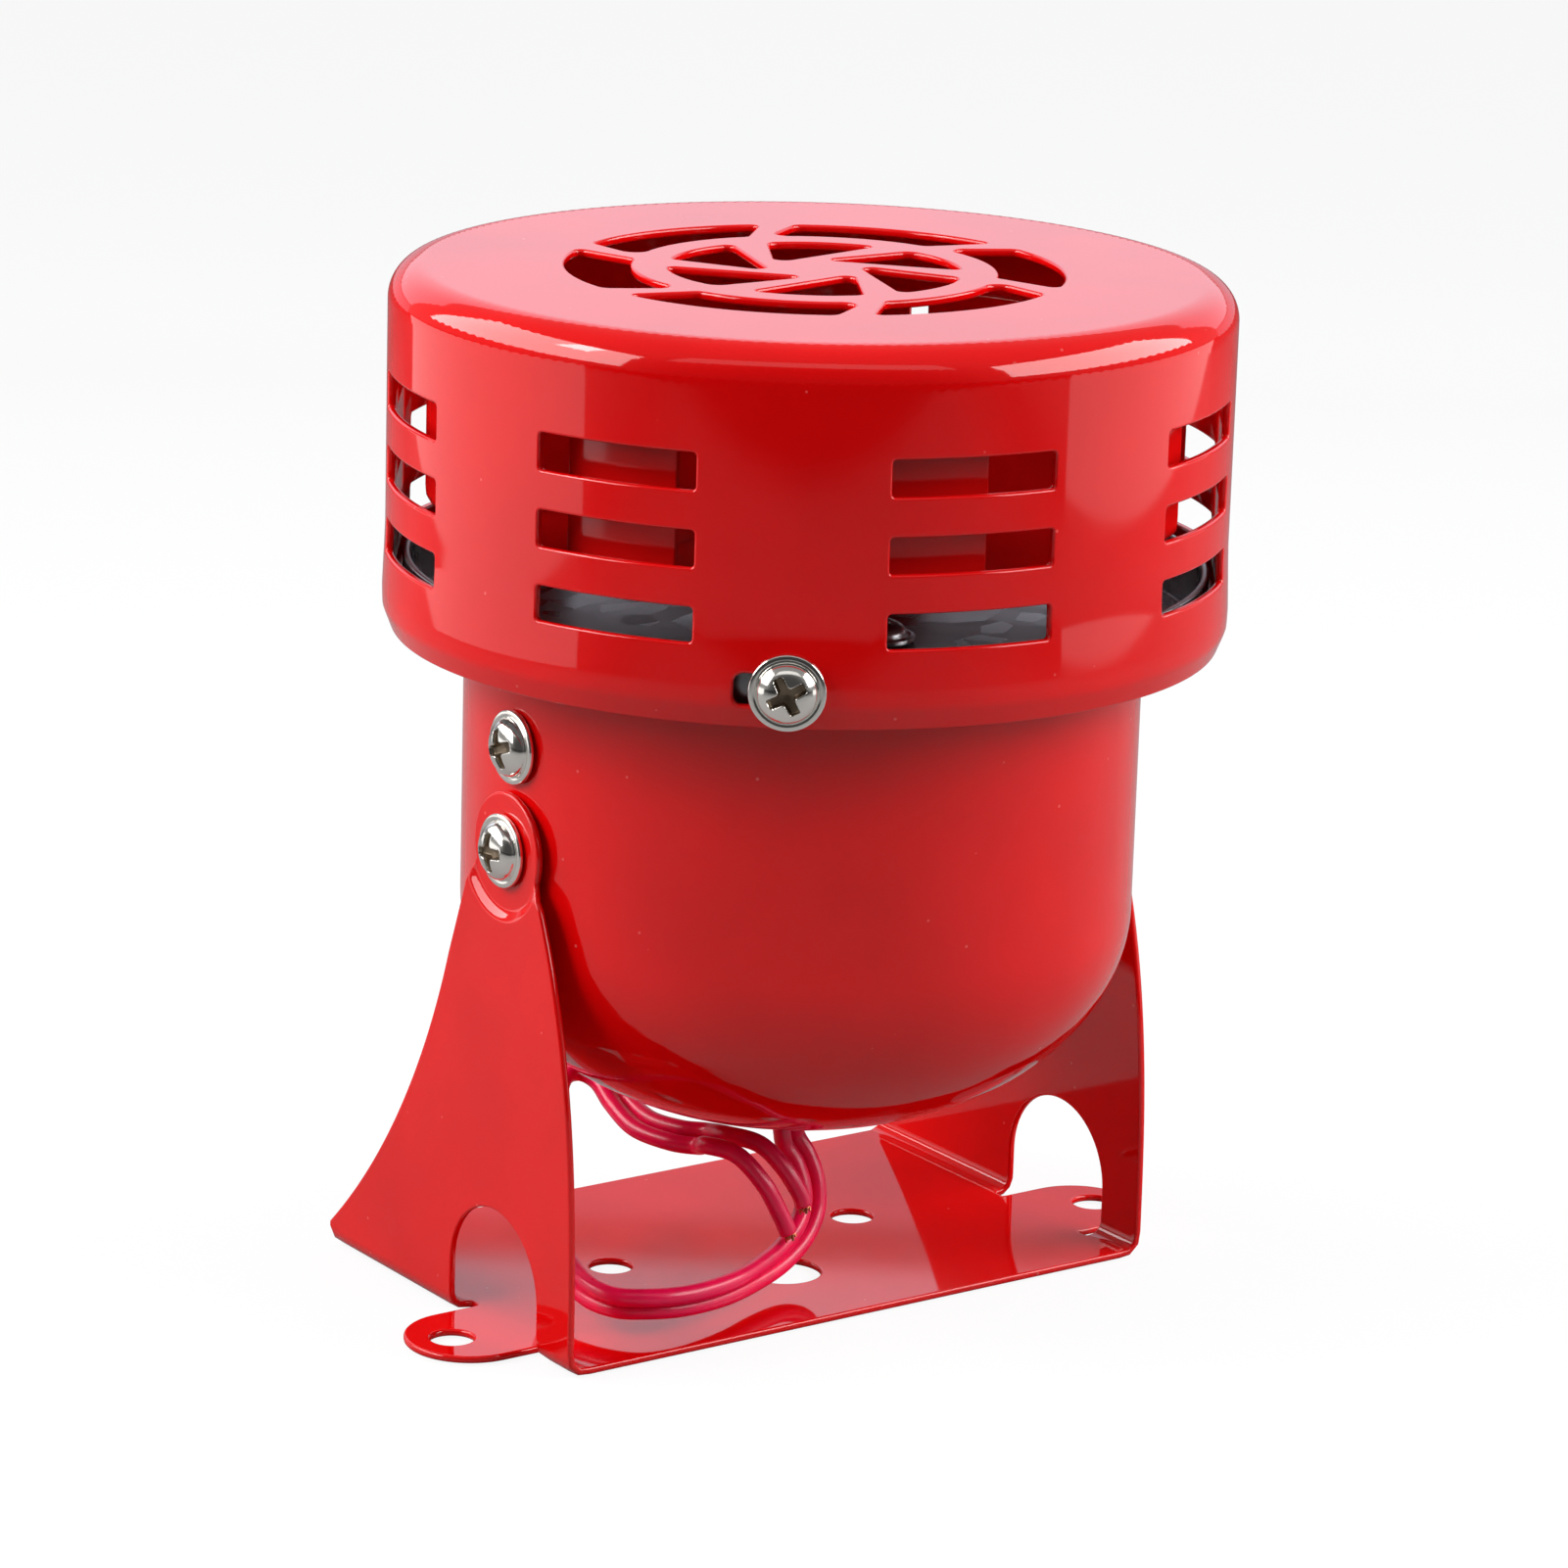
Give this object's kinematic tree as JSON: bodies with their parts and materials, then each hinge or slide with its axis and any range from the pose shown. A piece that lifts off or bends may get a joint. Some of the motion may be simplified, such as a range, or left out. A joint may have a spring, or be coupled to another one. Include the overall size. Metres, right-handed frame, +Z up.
{
  "type": "alarm siren",
  "caption": "Motor-driven alarm siren: slotted drum cap with a swirl intake grille over a chopper rotor, on a motor housing that tilts in a folded bracket.",
  "frame": {"origin": "on the mounting plane under the base plate, straight below the middle of the tilt axis", "axes": "+X along the tilt axis towards the right arm, -Y out of the front edge of the base plate, +Z up along the shaft"},
  "size_m": [0.1068, 0.1, 0.1253],
  "materials": {
    "armature_core": "ground steel",
    "armature_winding": "enamelled copper wire",
    "bearing_lower": "sintered bronze",
    "bearing_upper": "sintered bronze",
    "brush_left": "pressed carbon",
    "brush_right": "pressed carbon",
    "brush_spring_left": "bright",
    "brush_spring_right": "bright",
    "cable_grommet": "matt",
    "cap_nut_back": "zinc plated",
    "cap_nut_front": "zinc plated",
    "cap_screw_back": "bright nickel plate",
    "cap_screw_front": "bright nickel plate",
    "chopper_rotor": "semi-gloss red paint",
    "commutator": "bare copper",
    "end_bell": "moulded nylon",
    "housing_nut_left": "zinc plated",
    "housing_nut_right": "zinc plated",
    "housing_screw_left": "bright nickel plate",
    "housing_screw_right": "bright nickel plate",
    "hub_set_screw": "ground steel",
    "isolator_ring": "matt",
    "lead_inner": "gloss PVC",
    "lead_outer": "gloss PVC",
    "lock_washer_left": "ground steel",
    "lock_washer_right": "ground steel",
    "magnet_back": "sintered ferrite",
    "magnet_front": "sintered ferrite",
    "motor_can": "ground steel",
    "motor_housing": "gloss red powder coat",
    "motor_screw_back": "bright nickel plate",
    "motor_screw_front": "bright nickel plate",
    "motor_shaft": "ground steel",
    "mounting_bracket": "gloss red powder coat",
    "mounting_pan": "zinc plated",
    "pivot_nut_left": "zinc plated",
    "pivot_nut_right": "zinc plated",
    "pivot_screw_left": "bright nickel plate",
    "pivot_screw_right": "bright nickel plate",
    "rotor_hub": "turned",
    "rotor_nut": "zinc plated",
    "rotor_washer": "zinc plated",
    "slotted_cap": "gloss red powder coat",
    "strand_end_inner": "bare copper",
    "strand_end_outer": "bare copper",
    "terminal_left": "bright",
    "terminal_right": "bright"
  },
  "bodies": {
    "bracket": {"mounting_bracket": "mounting_bracket"},
    "head": {"bearing_lower": "bearing_lower", "bearing_upper": "bearing_upper", "brush_left": "brush_left", "brush_right": "brush_right", "brush_spring_left": "brush_spring_left", "brush_spring_right": "brush_spring_right", "cable_grommet": "cable_grommet", "cap_nut_back": "cap_nut_back", "cap_nut_front": "cap_nut_front", "cap_screw_back": "cap_screw_back", "cap_screw_front": "cap_screw_front", "end_bell": "end_bell", "housing_nut_left": "housing_nut_left", "housing_nut_right": "housing_nut_right", "housing_screw_left": "housing_screw_left", "housing_screw_right": "housing_screw_right", "isolator_ring": "isolator_ring", "lead_inner": "lead_inner", "lead_outer": "lead_outer", "lock_washer_left": "lock_washer_left", "lock_washer_right": "lock_washer_right", "magnet_back": "magnet_back", "magnet_front": "magnet_front", "motor_can": "motor_can", "motor_housing": "motor_housing", "motor_screw_back": "motor_screw_back", "motor_screw_front": "motor_screw_front", "mounting_pan": "mounting_pan", "pivot_nut_left": "pivot_nut_left", "pivot_nut_right": "pivot_nut_right", "pivot_screw_left": "pivot_screw_left", "pivot_screw_right": "pivot_screw_right", "slotted_cap": "slotted_cap", "strand_end_inner": "strand_end_inner", "strand_end_outer": "strand_end_outer", "terminal_left": "terminal_left", "terminal_right": "terminal_right"},
    "rotor": {"armature_core": "armature_core", "armature_winding": "armature_winding", "chopper_rotor": "chopper_rotor", "commutator": "commutator", "hub_set_screw": "hub_set_screw", "motor_shaft": "motor_shaft", "rotor_hub": "rotor_hub", "rotor_nut": "rotor_nut", "rotor_washer": "rotor_washer"}
  },
  "joints": [
    {"name": "head_tilt", "type": "hinge", "parent": "bracket", "child": "head", "pos_m": [0, 0, 0.06], "axis": [1, 0, 0], "range_deg": [-90, 90]},
    {"name": "rotor_spin", "type": "hinge", "parent": "head", "child": "rotor", "pos_m": [0, 0, 0.06], "axis": [0, 0, 1], "continuous": true}
  ]
}
